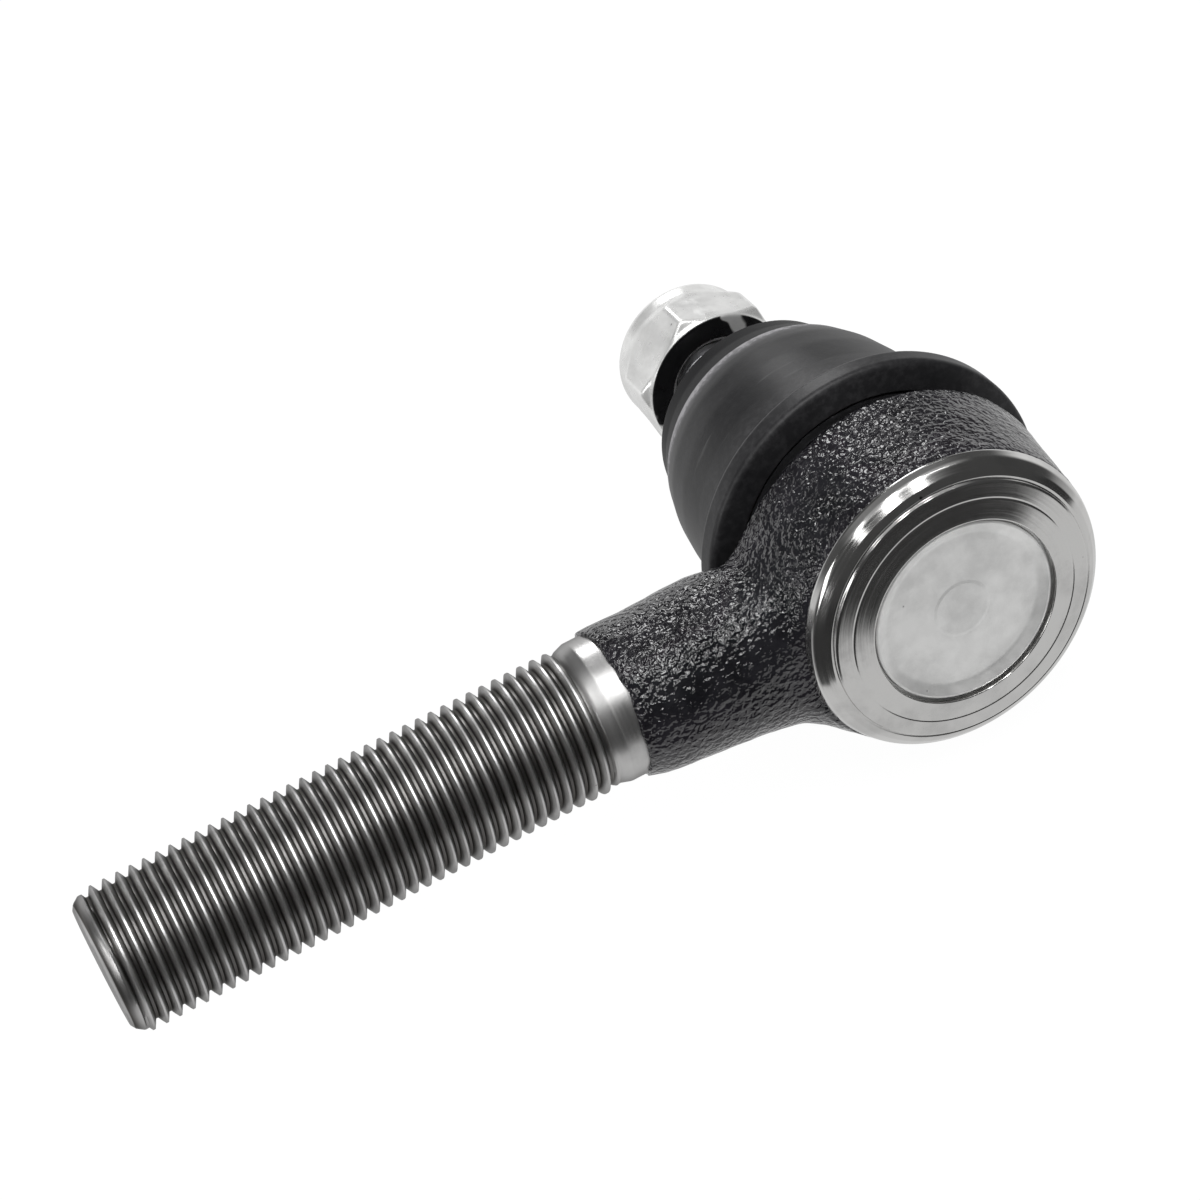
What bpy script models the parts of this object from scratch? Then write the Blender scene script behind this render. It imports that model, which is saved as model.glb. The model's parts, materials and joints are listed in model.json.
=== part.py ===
"""Outer tie rod end: a threaded, forged housing that holds a ball stud, with its dust boot and lock nut.

The origin is the centre of the shank's tip, the shank runs along +X, and the stud points along +Y.
Turned pieces are drawn as (radius, height) outlines, with height measured along the stud from the ball.
"""

import math

import bmesh
import bpy
from mathutils import Matrix, Vector

MM = 0.001
GAP = 0.3
MERGE = 1e-7

# Ball joint
BALL_RADIUS = 11.0
SEAT_WALL = 1.2
SEAT_INNER = BALL_RADIUS + GAP
SEAT_OUTER = SEAT_INNER + SEAT_WALL
SOCKET_RADIUS = SEAT_OUTER + GAP
SEAT_SPLIT = 0.2
SEAT_TOP = 6.0
SEAT_BOTTOM = -12.1
GREASE_HOLE = 3.5
MOUTH_HEIGHT = 7.5
MOUTH_FLARE = 0.6

# Forged housing
LIP_CREST = -15.4
LIP_UNDERSIDE = -14.75
LIP_OPENING = 10.75
LIP_CREASE = 13.1
LIP_EDGE_RADIUS = 15.06
LIP_EDGE_HEIGHT = -14.8
BAND_RADIUS = 17.3
BAND_HEIGHT = -12.4
BARREL_RADIUS = 18.9
BARREL_TOP = 0.4
CORNER = 1.4
NECK_RADIUS = 15.5
NECK_FOOT = 2.6
GROOVE_RADIUS = 14.9
GROOVE_LOW = 3.7
GROOVE_HIGH = 6.7
HOUSING_TOP = 8.6
CAP_POCKET = 13.9
CAP_SHELF = -13.3

# End cap and its spring
CAP_RADIUS = CAP_POCKET - GAP
CAP_RIM = LIP_UNDERSIDE + GAP
CAP_FLOOR = CAP_RIM
CAP_RIDGE = 10.45
CAP_RIDGE_TOP = -15.0
CAP_FILLET = 1.2
CAP_INSIDE = -13.7
SPRING_HOLE = 5.0
SPRING_RADIUS = 11.0
SPRING_THICK = 0.7
SPRING_CONE = 0.3

# Threaded shank, M16 x 1.5, measured as distance from the stud's axis
SHANK_DROP = 2.0
SHANK_RADIUS = 8.0
SHANK_PITCH = 1.5
SHANK_TIP = 95.0
TIP_CHAMFER = 1.9
TIP_RADIUS = 6.5
THREAD_START = 39.2
COLLAR_START = 38.4
COLLAR_END = 35.4
COLLAR_RADIUS = 8.5
SHANK_CORE = 6.5
SHANK_ROOT = 28.0

# Forged arm from shank to barrel: (distance from stud's axis, half width, low side, high side, squareness)
ARM_SECTIONS = (
    (37.2, 8.0, -10.0, 6.0, 2.0),
    (35.6, 8.7, -11.25, 6.1, 2.0),
    (31.0, 8.85, -11.65, 6.05, 2.0),
    (27.0, 8.95, -11.95, 5.85, 2.1),
    (23.5, 9.2, -12.2, 5.55, 2.15),
    (21.8, 9.3, -12.25, 4.9, 2.2),
    (20.4, 9.35, -12.25, 3.4, 2.3),
    (18.6, 9.7, -12.2, 2.7, 2.4),
    (16.4, 10.8, -12.1, 2.3, 2.6),
    (14.4, 12.3, -11.9, 2.2, 2.8),
    (12.6, 13.4, -11.6, 2.1, 3.0),
    (4.0, 13.4, -11.4, 2.0, 3.0),
)
ARM_SIDES = 32

# Ball stud with a 1:10 taper and an M10 x 1.25 thread
STUD_NECK = 5.8
TAPER_LOW = 20.0
TAPER_HIGH = 39.6
TAPER_RADIUS = 6.9
TAPER_RATE = 0.05
STUD_THREAD_RADIUS = 5.0
STUD_PITCH = 1.25
STUD_THREAD_START = 41.2
STUD_END = 53.6
STUD_RELIEF = 4.1
BALL_FLAT = 3.0

# Hexagon lock nut, 17 mm across flats and 10 mm high, with a nylon ring in its collar
NUT_FLATS = 17.2
NUT_TURN = -13.5
NUT_LOW = 42.0
NUT_HEX_TOP = 49.3
NUT_TOP = 52.3
NUT_COLLAR = 8.65
NUT_COLLAR_CHAMFER = 0.9
NUT_BEARING = 8.05
NUT_BORE = STUD_THREAD_RADIUS + GAP
INSERT_LOW = 50.4
INSERT_HIGH = 51.6
INSERT_RADIUS = 6.8

# Dust boot
BEAD_RADIUS = 20.1
BEAD_LOW = 3.7
BEAD_HIGH = 6.6
BOOT_RIM = 31.7
BOOT_RIM_RADIUS = 12.7
BOOT_TOP = 32.3
BOOT_TOP_WALL = 2.0
BOOT_HOLE = 7.1
BASE_RING_RADIUS = 16.2
TOP_RING_RADIUS = 8.9
TOP_RING_HEIGHT = 1.0
EDGE = 0.6

STEPS = 40
HIDDEN_STEPS = 30
THREAD_STEPS = 20

MATERIALS = {
    "painted_steel": ((0.012, 0.012, 0.013), 0.28, 0.0),
    "zinc_plate": ((0.72, 0.72, 0.70), 0.36, 1.0),
    "bright_steel": ((0.55, 0.55, 0.56), 0.30, 1.0),
    "spring_steel": ((0.30, 0.30, 0.32), 0.38, 1.0),
    "acetal": ((0.80, 0.78, 0.70), 0.45, 0.0),
    "nylon": ((0.10, 0.22, 0.55), 0.50, 0.0),
    "boot_rubber": ((0.035, 0.035, 0.037), 0.55, 0.0),
}


def material(name):
    """The named Principled material, made on first use."""
    found = bpy.data.materials.get(name)
    if found:
        return found
    colour, roughness, metallic = MATERIALS[name]
    made = bpy.data.materials.new(name)
    made.use_nodes = True
    shader = made.node_tree.nodes["Principled BSDF"]
    shader.inputs["Base Color"].default_value = (*colour, 1.0)
    shader.inputs["Roughness"].default_value = roughness
    shader.inputs["Metallic"].default_value = metallic
    return made


def clear_scene():
    for old in list(bpy.data.objects):
        bpy.data.objects.remove(old, do_unlink=True)


def add_empty(name, location, rotation, parent=None):
    """An empty that marks a point of the part, or an axis along its own Z."""
    empty = bpy.data.objects.new(name, None)
    empty.empty_display_size = 10 * MM
    empty.location = Vector(location) * MM
    empty.rotation_euler = rotation
    empty.parent = parent
    bpy.context.scene.collection.objects.link(empty)
    return empty


def add_object(name, mesh_builder, material_name, parent):
    """Turns a bmesh drawn in millimetres into a smooth-shaded object in metres."""
    bmesh.ops.scale(mesh_builder, vec=(MM, MM, MM), verts=mesh_builder.verts)
    bmesh.ops.recalc_face_normals(mesh_builder, faces=mesh_builder.faces)
    mesh = bpy.data.meshes.new(name)
    mesh_builder.to_mesh(mesh)
    mesh_builder.free()
    mesh.materials.append(material(material_name))
    mesh.shade_smooth()
    mesh.set_sharp_from_angle(angle=math.radians(35))
    made = bpy.data.objects.new(name, mesh)
    made.parent = parent
    bpy.context.scene.collection.objects.link(made)
    return made


def arc(centre, radius, start, end, count):
    """Points on an arc from one angle to another, in degrees, as (radius, height) pairs."""
    points = []
    for step in range(count + 1):
        angle = math.radians(start + (end - start) * step / count)
        points.append((centre[0] + radius * math.cos(angle), centre[1] + radius * math.sin(angle)))
    return points


def sphere_angle(radius, height):
    """Elevation, in degrees, at which a sphere about the ball's centre reaches a height."""
    return math.degrees(math.asin(height / radius))


def turn(outline, steps=STEPS):
    """Spins a closed (radius, height) outline about Z into a bmesh."""
    shape = bmesh.new()
    corners = [shape.verts.new((radius, 0.0, height)) for radius, height in outline]
    edges = []
    for index, corner in enumerate(corners):
        following = corners[(index + 1) % len(corners)]
        on_axis = corner.co.x == 0.0 and following.co.x == 0.0
        if not on_axis:
            edges.append(shape.edges.new((corner, following)))
    bmesh.ops.spin(
        shape, geom=corners + edges, cent=(0, 0, 0), axis=(0, 0, 1), dvec=(0, 0, 0),
        angle=math.tau, steps=steps, use_merge=True,
    )
    bmesh.ops.remove_doubles(shape, verts=shape.verts, dist=MERGE)
    return shape


def ring_at(shape, radius, height, steps):
    """A ring of vertices about Z."""
    ring = []
    for step in range(steps):
        angle = math.tau * step / steps
        ring.append(shape.verts.new((radius * math.cos(angle), radius * math.sin(angle), height)))
    return ring


def bridge(shape, lower, upper):
    """Quads between two rings of equal length."""
    count = len(lower)
    for step in range(count):
        after = (step + 1) % count
        shape.faces.new((lower[step], lower[after], upper[after], upper[step]))


def helix_points(shape, radius_at, first, last, lift, pitch, steps):
    """Vertices along one helix, from step first to step last."""
    points = []
    for step in range(first, last + 1):
        angle = math.tau * step / steps
        radius = radius_at(step)
        height = lift + pitch * step / steps
        points.append(shape.verts.new((radius * math.cos(angle), radius * math.sin(angle), height)))
    return points


def threaded_rod(outline_below, outline_above, start, pitch, turns, major, minor, steps=THREAD_STEPS):
    """A rod about Z whose middle is a single-start thread, between two plain turned ends.

    outline_below and outline_above run outwards from the thread as (radius, height) pairs.
    """
    shape = bmesh.new()
    total = turns * steps

    def crest_radius(step):
        run_in = min(step, total - step) / steps
        return minor + (major - minor) * min(1.0, run_in)

    roots = helix_points(shape, lambda step: minor, 0, total + steps, start, pitch, steps)
    crests = helix_points(shape, crest_radius, 0, total, start + pitch / 2, pitch, steps)
    for step in range(total):
        below = (roots[step], roots[step + 1], crests[step + 1], crests[step])
        above = (crests[step], crests[step + 1], roots[step + steps + 1], roots[step + steps])
        shape.faces.new(below)
        shape.faces.new(above)
    bottom = [ring_at(shape, radius, height, steps) for radius, height in outline_below]
    top = [ring_at(shape, radius, height, steps) for radius, height in outline_above]
    for rings in (bottom, top):
        for near, far in zip(rings, rings[1:]):
            bridge(shape, near, far)
        shape.faces.new(rings[-1])
    low, high = bottom[0], top[0]
    for step in range(steps - 1):
        shape.faces.new((low[step], low[step + 1], roots[step + 1], roots[step]))
        after = total + step + 1
        if step:
            shape.faces.new((high[step], high[step + 1], roots[after], roots[after - 1]))
    end = total + steps
    shape.faces.new((low[-1], low[0], roots[0], crests[0], roots[steps], roots[steps - 1]))
    shape.faces.new((high[0], high[1], roots[total + 1], roots[total], crests[total], roots[end]))
    shape.faces.new((high[-1], high[0], roots[end], roots[end - 1]))
    return shape


def boolean(target, cutter, operation):
    """Adds a Boolean modifier and hides the helper it uses."""
    modifier = target.modifiers.new(cutter.name, "BOOLEAN")
    modifier.operation = operation
    modifier.object = cutter
    cutter.hide_render = True
    cutter.display_type = "WIRE"


def barrel_outline():
    """Outside of the housing: rolled lip, bare band, drafted barrel, shoulder and boot groove."""
    corner_centre = (BARREL_RADIUS - CORNER, BARREL_TOP - CORNER)
    return (
        [(0.0, LIP_CREST), (LIP_OPENING + 1.3, LIP_CREST), (LIP_CREASE, LIP_CREST + 0.15)]
        + [(LIP_EDGE_RADIUS, LIP_EDGE_HEIGHT), (16.5, -13.7), (BAND_RADIUS, BAND_HEIGHT)]
        + arc(corner_centre, CORNER, 0, 90, 4)
        + [(NECK_RADIUS + 0.9, 1.6), (NECK_RADIUS, NECK_FOOT), (NECK_RADIUS, GROOVE_LOW - 0.5)]
        + [(GROOVE_RADIUS, GROOVE_LOW - 0.2), (GROOVE_RADIUS, GROOVE_HIGH + 0.2)]
        + [(NECK_RADIUS, GROOVE_HIGH + 0.6), (NECK_RADIUS, HOUSING_TOP - 0.6)]
        + [(NECK_RADIUS - 0.6, HOUSING_TOP), (0.0, HOUSING_TOP)]
    )


def socket_outline():
    """Inside of the housing: lip opening, cap pocket, seat bore, spherical roof and flared mouth."""
    above = HOUSING_TOP + 1.0
    roof = sphere_angle(SOCKET_RADIUS, MOUTH_HEIGHT)
    mouth = SOCKET_RADIUS * math.cos(math.radians(roof))
    return (
        [(0.0, LIP_CREST - 1.0), (LIP_OPENING, LIP_CREST - 1.0), (LIP_OPENING, LIP_UNDERSIDE)]
        + [(CAP_POCKET, LIP_UNDERSIDE), (CAP_POCKET, CAP_SHELF), (SOCKET_RADIUS, CAP_SHELF)]
        + arc((0, 0), SOCKET_RADIUS, 0, roof, 4)
        + [(mouth + (above - MOUTH_HEIGHT) * MOUTH_FLARE, above), (0.0, above)]
    )


def arm_section(shape, distance, half_width, low, high, squareness):
    """One superellipse ring of the forged arm, measured from the ball's centre."""
    middle = (low + high) / 2
    half_height = (high - low) / 2
    ring = []
    for side in range(ARM_SIDES):
        angle = math.tau * side / ARM_SIDES
        across = math.copysign(abs(math.cos(angle)) ** (2 / squareness), math.cos(angle))
        along = math.copysign(abs(math.sin(angle)) ** (2 / squareness), math.sin(angle))
        ring.append(shape.verts.new((-distance, middle + half_height * along, half_width * across)))
    return ring


def arm_mesh():
    shape = bmesh.new()
    rings = [arm_section(shape, *section) for section in ARM_SECTIONS]
    for near, far in zip(rings, rings[1:]):
        bridge(shape, near, far)
    shape.faces.new(rings[0])
    shape.faces.new(rings[-1])
    return shape


def shank_mesh():
    """The bare shank, from its buried root to the chamfered tip."""
    minor = SHANK_RADIUS - 0.6134 * SHANK_PITCH
    below = [(minor, THREAD_START - 0.1), (SHANK_RADIUS - 0.05, COLLAR_START)]
    below += [(SHANK_RADIUS + 0.15, COLLAR_START - 0.9), (COLLAR_RADIUS, COLLAR_END + 0.8)]
    below += [(COLLAR_RADIUS, COLLAR_END), (SHANK_CORE, COLLAR_END - 1.0), (SHANK_CORE, SHANK_ROOT)]
    thread_end = SHANK_TIP - TIP_CHAMFER
    turns = round((thread_end - THREAD_START) / SHANK_PITCH - 1.2)
    above = [(minor, thread_end + 0.4), (TIP_RADIUS, SHANK_TIP)]
    return threaded_rod(below, above, THREAD_START, SHANK_PITCH, turns, SHANK_RADIUS, minor)


def make_housing(ball_centre, stud_axis, shank_axis):
    housing = add_object("housing", turn(barrel_outline()), "painted_steel", stud_axis)
    arm = add_object("arm_shape", arm_mesh(), "painted_steel", ball_centre)
    shank = add_object("shank_shape", shank_mesh(), "bright_steel", shank_axis)
    socket = add_object("socket_shape", turn(socket_outline()), "painted_steel", stud_axis)
    boolean(housing, arm, "UNION")
    boolean(housing, shank, "UNION")
    boolean(housing, socket, "DIFFERENCE")


def make_end_cap(stud_axis):
    """A dished plate whose rim sits under the lip and whose ridge fills the lip's opening."""
    fillet_centre = (CAP_RIDGE - 0.3 - CAP_FILLET * 0.87, CAP_FLOOR - CAP_FILLET)
    outline = [(0.0, CAP_FLOOR)] + arc(fillet_centre, CAP_FILLET, 90, 30, 3)
    outline += [(CAP_RIDGE, CAP_RIDGE_TOP), (CAP_RIDGE, CAP_RIM), (CAP_RADIUS, CAP_RIM)]
    outline += [(CAP_RADIUS, CAP_INSIDE), (0.0, CAP_INSIDE)]
    add_object("end_cap", turn(outline), "zinc_plate", stud_axis)


def make_disc_spring(stud_axis):
    """A single conical disc spring between the cap and the lower seat."""
    top = SEAT_BOTTOM - GAP
    outline = [(SPRING_HOLE, top), (SPRING_HOLE, top - SPRING_THICK)]
    outline += [(SPRING_RADIUS, top - SPRING_THICK - SPRING_CONE), (SPRING_RADIUS, top - SPRING_CONE)]
    add_object("disc_spring", turn(outline, HIDDEN_STEPS), "spring_steel", stud_axis)


def make_lower_seat(stud_axis):
    rim = sphere_angle(SEAT_INNER, -SEAT_SPLIT)
    pole = -math.degrees(math.acos(GREASE_HOLE / SEAT_INNER))
    outline = [(GREASE_HOLE, SEAT_BOTTOM), (SEAT_OUTER - 0.5, SEAT_BOTTOM)]
    outline += [(SEAT_OUTER, SEAT_BOTTOM + 0.5), (SEAT_OUTER, -SEAT_SPLIT)]
    outline += arc((0, 0), SEAT_INNER, rim, pole, 7)
    add_object("lower_seat", turn(outline, HIDDEN_STEPS), "acetal", stud_axis)


def make_upper_seat(stud_axis):
    inner_top = sphere_angle(SEAT_INNER, SEAT_TOP)
    inner_low = sphere_angle(SEAT_INNER, SEAT_SPLIT)
    outer_low = sphere_angle(SEAT_OUTER, SEAT_SPLIT)
    outer_top = sphere_angle(SEAT_OUTER, SEAT_TOP)
    outline = arc((0, 0), SEAT_OUTER, outer_low, outer_top, 4)
    outline += arc((0, 0), SEAT_INNER, inner_top, inner_low, 4)
    add_object("upper_seat", turn(outline, HIDDEN_STEPS), "acetal", stud_axis)


def stud_outline_below():
    """The stud from its thread down to the ball, as (radius, height) pairs."""
    neck_angle = math.degrees(math.acos(STUD_NECK / BALL_RADIUS))
    flat_angle = -math.degrees(math.acos(BALL_FLAT / BALL_RADIUS))
    taper_end = TAPER_RADIUS - TAPER_RATE * (TAPER_HIGH - TAPER_LOW)
    outline = [(STUD_RELIEF, STUD_THREAD_START - 0.1), (STUD_RELIEF, TAPER_HIGH + 0.9)]
    outline += [(taper_end - 0.5, TAPER_HIGH + 0.4), (taper_end, TAPER_HIGH)]
    outline += [(TAPER_RADIUS, TAPER_LOW), (TAPER_RADIUS - 0.4, TAPER_LOW - 1.0)]
    outline += [(STUD_NECK + 0.3, TAPER_LOW - 3.5), (STUD_NECK, TAPER_LOW - 6.5)]
    outline += arc((0, 0), BALL_RADIUS, neck_angle, flat_angle, 13)
    return outline


def make_ball_stud(stud_axis):
    minor = STUD_THREAD_RADIUS - 0.6134 * STUD_PITCH
    turns = round((STUD_END - 0.8 - STUD_THREAD_START) / STUD_PITCH - 1.2)
    above = [(minor, STUD_END - 0.35), (minor - 0.3, STUD_END)]
    shape = threaded_rod(
        stud_outline_below(), above, STUD_THREAD_START, STUD_PITCH, turns,
        STUD_THREAD_RADIUS, minor, steps=THREAD_STEPS,
    )
    add_object("ball_stud", shape, "bright_steel", stud_axis)


def nut_envelope():
    """The turned shape that chamfers the hexagon's corners and leaves the round collar."""
    corner = NUT_FLATS / math.sqrt(3)
    chamfer = (corner - NUT_BEARING) * math.tan(math.radians(30))
    return [
        (0.0, NUT_LOW), (NUT_BEARING, NUT_LOW), (corner + 0.5, NUT_LOW + chamfer + 0.29),
        (corner + 0.5, NUT_HEX_TOP - chamfer - 0.5), (NUT_COLLAR, NUT_HEX_TOP + 0.5),
        (NUT_COLLAR, NUT_TOP - NUT_COLLAR_CHAMFER), (NUT_COLLAR - NUT_COLLAR_CHAMFER, NUT_TOP),
        (0.0, NUT_TOP),
    ]


def nut_bore():
    """Clear bore with countersinks and the pocket of the nylon ring."""
    pocket = INSERT_RADIUS + GAP
    return [
        (0.0, NUT_LOW - 1.0), (NUT_BORE + 1.5, NUT_LOW - 1.0), (NUT_BORE, NUT_LOW + 0.5),
        (NUT_BORE, INSERT_LOW - GAP), (pocket, INSERT_LOW - GAP), (pocket, INSERT_HIGH + GAP),
        (NUT_BORE + 0.5, INSERT_HIGH + GAP), (NUT_BORE + 0.5, NUT_TOP + 1.0), (0.0, NUT_TOP + 1.0),
    ]


def hexagon_prism():
    shape = bmesh.new()
    corner = NUT_FLATS / math.sqrt(3)
    height = NUT_TOP - NUT_LOW + 2.0
    place = Matrix.Translation((0, 0, (NUT_TOP + NUT_LOW) / 2))
    place @= Matrix.Rotation(math.radians(NUT_TURN), 4, "Z")
    bmesh.ops.create_cone(
        shape, cap_ends=True, segments=6, radius1=corner, radius2=corner, depth=height, matrix=place,
    )
    return shape


def make_lock_nut(stud_axis):
    nut = add_object("lock_nut", turn(nut_envelope()), "zinc_plate", stud_axis)
    hexagon = add_object("hexagon_shape", hexagon_prism(), "zinc_plate", stud_axis)
    bore = add_object("nut_bore_shape", turn(nut_bore(), HIDDEN_STEPS), "zinc_plate", stud_axis)
    boolean(nut, hexagon, "INTERSECT")
    boolean(nut, bore, "DIFFERENCE")
    outline = [(NUT_BORE, INSERT_LOW), (INSERT_RADIUS, INSERT_LOW)]
    outline += [(INSERT_RADIUS, INSERT_HIGH), (NUT_BORE, INSERT_HIGH)]
    add_object("nut_insert", turn(outline, HIDDEN_STEPS), "nylon", stud_axis)


def boot_outer():
    """Outside of the boot, bottom to top: bead, skirt, shoulder, cone and rim."""
    return [
        (BEAD_RADIUS - EDGE, BEAD_LOW), (BEAD_RADIUS, BEAD_LOW + EDGE), (BEAD_RADIUS, BEAD_HIGH - EDGE),
        (BEAD_RADIUS - EDGE, BEAD_HIGH), (17.6, 7.0), (17.0, 9.0), (16.5, 14.0), (16.2, 19.0),
        (15.6, 22.5), (14.6, 26.0), (13.55, 29.0), (BOOT_RIM_RADIUS, BOOT_RIM),
        (BOOT_RIM_RADIUS - EDGE, BOOT_TOP),
    ]


def boot_inner():
    """Inside of the boot, top to bottom, ending in the pocket of the base ring."""
    ring_pocket = BASE_RING_RADIUS + GAP
    roof = BOOT_TOP - BOOT_TOP_WALL
    return [
        (BOOT_HOLE, BOOT_TOP), (BOOT_HOLE, roof), (10.7, roof),
        (12.1, 28.3), (13.1, 25.4), (14.1, 22.0), (14.7, 18.8), (15.0, 14.0), (15.4, 9.2),
        (15.9, 7.0), (ring_pocket, BEAD_HIGH), (ring_pocket, BEAD_LOW),
    ]


def make_boot(stud_axis):
    add_object("dust_boot", turn(boot_outer() + boot_inner()), "boot_rubber", stud_axis)
    low = GROOVE_LOW + GAP
    high = GROOVE_HIGH - GAP
    inner = GROOVE_RADIUS + GAP
    base = [(inner, low), (BASE_RING_RADIUS, low), (BASE_RING_RADIUS, high), (inner, high)]
    add_object("boot_base_ring", turn(base, HIDDEN_STEPS), "spring_steel", stud_axis)
    high = BOOT_TOP - BOOT_TOP_WALL - GAP
    low = high - TOP_RING_HEIGHT
    inner = BOOT_HOLE + 0.2
    top = [(inner, low), (TOP_RING_RADIUS, low), (TOP_RING_RADIUS, high), (inner, high)]
    add_object("boot_top_ring", turn(top, HIDDEN_STEPS), "spring_steel", stud_axis)


def main():
    clear_scene()
    ball_centre = add_empty("ball_centre", (SHANK_TIP, SHANK_DROP, 0), (0, 0, 0))
    stud_axis = add_empty("stud_axis", (0, 0, 0), (-math.pi / 2, 0, 0), ball_centre)
    shank_axis = add_empty("shank_axis", (0, -SHANK_DROP, 0), (0, -math.pi / 2, 0), ball_centre)
    make_housing(ball_centre, stud_axis, shank_axis)
    make_end_cap(stud_axis)
    make_disc_spring(stud_axis)
    make_lower_seat(stud_axis)
    make_upper_seat(stud_axis)
    make_ball_stud(stud_axis)
    make_lock_nut(stud_axis)
    make_boot(stud_axis)


main()
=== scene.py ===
"""Finished surfaces for the tie rod end: forged skin, turned steel, thread, rubber boot, plated nut and cap.

Shapes are drawn in millimetres from the ball's centre, with +Y along the stud, then moved into the row frame.
Turned pieces are (radius, height) outlines about the stud's axis, like the CAD.
"""

import json
import math

import bmesh
import bpy
import numpy as np
from mathutils import Matrix, Vector, noise


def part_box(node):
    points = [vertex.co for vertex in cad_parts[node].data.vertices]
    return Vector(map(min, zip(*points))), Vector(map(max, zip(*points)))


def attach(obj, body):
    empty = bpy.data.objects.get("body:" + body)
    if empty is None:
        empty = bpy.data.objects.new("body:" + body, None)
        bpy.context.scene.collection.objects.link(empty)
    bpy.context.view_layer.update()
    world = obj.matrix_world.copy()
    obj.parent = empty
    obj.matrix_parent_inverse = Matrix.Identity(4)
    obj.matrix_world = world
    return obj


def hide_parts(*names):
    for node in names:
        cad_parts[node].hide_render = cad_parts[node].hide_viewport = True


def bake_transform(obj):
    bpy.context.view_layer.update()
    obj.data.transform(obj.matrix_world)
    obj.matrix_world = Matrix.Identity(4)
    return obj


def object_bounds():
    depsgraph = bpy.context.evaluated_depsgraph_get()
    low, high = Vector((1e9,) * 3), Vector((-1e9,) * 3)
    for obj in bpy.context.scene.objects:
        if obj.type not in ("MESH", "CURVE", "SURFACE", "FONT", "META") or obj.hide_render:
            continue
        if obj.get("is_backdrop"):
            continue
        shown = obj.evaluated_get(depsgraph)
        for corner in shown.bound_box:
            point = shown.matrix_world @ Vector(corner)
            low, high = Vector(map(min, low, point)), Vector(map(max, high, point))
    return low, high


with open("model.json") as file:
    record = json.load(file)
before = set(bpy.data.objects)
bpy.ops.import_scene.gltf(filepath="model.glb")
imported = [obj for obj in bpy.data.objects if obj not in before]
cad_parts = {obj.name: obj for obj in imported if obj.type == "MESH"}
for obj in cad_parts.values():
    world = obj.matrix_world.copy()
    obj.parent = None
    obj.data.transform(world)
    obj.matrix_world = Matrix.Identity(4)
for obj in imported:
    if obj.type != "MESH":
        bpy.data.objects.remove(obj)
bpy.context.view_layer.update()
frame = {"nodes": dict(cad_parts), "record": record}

MM = 0.001
JOINTS = {joint["name"]: joint for joint in frame["record"]["behaviour"]["joints"]}
BALL = Vector(JOINTS["stud_spin"]["pos_m"])
TURN_STEPS = 160
ALONG_SHANK, ALONG_STUD = 0, 1


def reach(node, axis, side):
    """How far a node's box goes along an axis, in millimetres from the ball's centre."""
    return (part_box(node)[side][axis] - BALL[axis]) / MM


# Sizes read from the CAD
LIP_CREST = reach("housing", 1, 0)
BARREL_RADIUS = reach("housing", 0, 1)
SHANK_TIP = -reach("housing", 0, 0)
SHANK_AXIS = -BALL.y / MM
HOUSING_TOP = reach("housing", 1, 1)
CAP_INSIDE = reach("end_cap", 1, 1)
CAP_RADIUS = reach("end_cap", 0, 1)
NUT_LOW = reach("lock_nut", 1, 0)
NUT_TOP = reach("lock_nut", 1, 1)
STUD_END = reach("ball_stud", 1, 1)
BALL_RADIUS = reach("ball_stud", 0, 1)
BOOT_LOW = reach("dust_boot", 1, 0)
BOOT_TOP = reach("dust_boot", 1, 1)
BEAD_RADIUS = reach("dust_boot", 0, 1)

# Sizes that the boxes don't show
LIP_OPENING = 10.75
LIP_GROOVE = 13.1
LIP_EDGE = 15.0
BAND_RADIUS = 17.3
BAND_TOP = LIP_CREST + 3.0
BARREL_TOP = 0.4
NECK_RADIUS = 15.5
SOCKET_RADIUS = 12.8
SOCKET_MOUTH = 7.5
SOCKET_FLARE = 11.05
SOCKET_LOW = -13.3
SKIN_INSIDE = 14.4
SHANK_RADIUS = 8.0
SHANK_PITCH = 1.5
SHANK_THREAD_DEPTH = 0.92
THREAD_START = 38.7
SHANK_UNDERCUT = 7.6
SHOULDER_LENGTH = 3.2
SHOULDER_RISE = 0.98
TIP_RING = 6.4
PAINT_END = 35.4
BALL_FLAT = 3.0
STUD_NECK = 5.8
TAPER_START = 20.0
TAPER_END = 39.6
STUD_ROOT = 4.1
STUD_THREAD = 5.0
STUD_PITCH = 1.25
STUD_THREAD_DEPTH = 0.76
NUT_FLATS = 17.2
NUT_CORNER_TURN = 43.5
NUT_LOW_CHAMFER = 8.05
NUT_HIGH_CHAMFER = 8.62
NUT_COLLAR = 8.75
NUT_DOME = 7.6
NUT_HEX_TOP = NUT_LOW + 7.3
# The nut's bearing face below this height gets a painted shade
NUT_SHADED_TOP = NUT_LOW + 0.16
NUT_BORE = 5.3
NUT_POCKET = 7.1
NUT_MOUTH = 5.9
BOOT_FOOT = 7.0
BOOT_SEAM = 17.0
BOOT_SHOULDER = 26.1
BOOT_UPPER_LIP = 29.5

# How closely the surfaces are sampled
SKIN_GRID = 0.34
NUT_GRID = 0.17
BOOT_GRID = 0.4

# One turn of a thread: lines across it as shares of the pitch, and how deep each lies in the groove
FLANK_LINES = np.array((-0.07, 0.07, 0.24, 0.40, 0.50, 0.60, 0.76))
FLANK_DEPTHS = np.array((0.0, 0.0, 0.47, 0.97, 1.0, 0.97, 0.47))

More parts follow.
